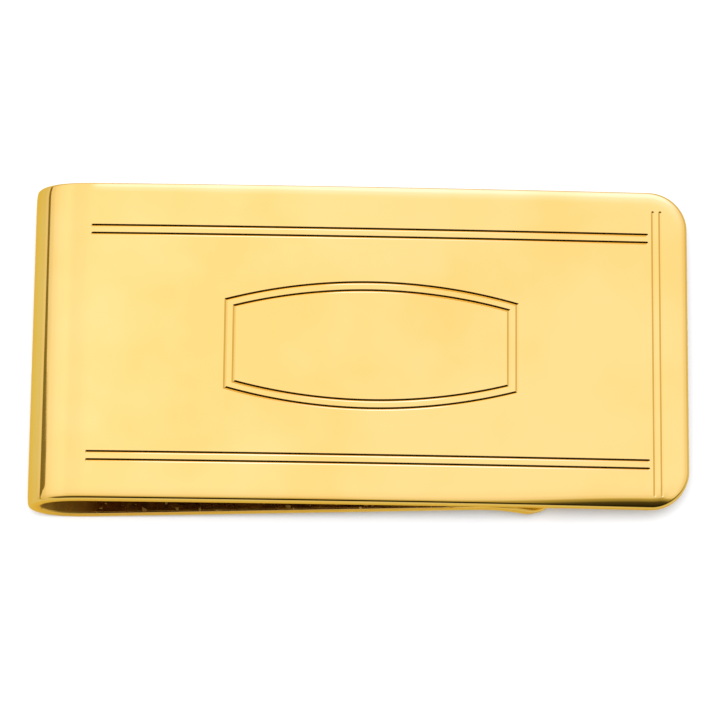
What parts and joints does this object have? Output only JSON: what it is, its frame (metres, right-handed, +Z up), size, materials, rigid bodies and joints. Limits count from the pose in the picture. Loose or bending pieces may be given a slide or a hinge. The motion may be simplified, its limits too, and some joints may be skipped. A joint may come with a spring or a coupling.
{
  "type": "money clip",
  "caption": "Folded spring-strip money clip with an engraved cover plate, a back leaf pressed against it and a flared lip that lets notes slide in.",
  "frame": {"origin": "bottom centre of the clip as it lies on its back, on the fold and the tip of the grip lip", "axes": "+X runs along the clip from the fold to the open end, +Y across the strip, +Z up through the engraved cover"},
  "size_m": [0.0508, 0.0254, 0.006],
  "materials": {
    "gold_cover": "high-polish gold plate with cut engraving",
    "gold_fold": "high-polish gold plate",
    "gold_leaf": "polished gold plate, finely rubbed",
    "gold_lip": "polished gold plate, finely rubbed"
  },
  "bodies": {
    "spring": {"spring_bend": "gold_fold", "back_leaf": "gold_leaf", "grip_lip": "gold_lip"},
    "cover": {"front_plate": "gold_cover"}
  },
  "joints": [
    {"name": "clip_flex", "type": "hinge", "parent": "spring", "child": "cover", "pos_m": [-0.01644, 0, 0.0054], "axis": [0, -1, 0], "range_deg": [0, 10], "stiffness_Nm_per_rad": 3, "springref_deg": -1.72}
  ]
}
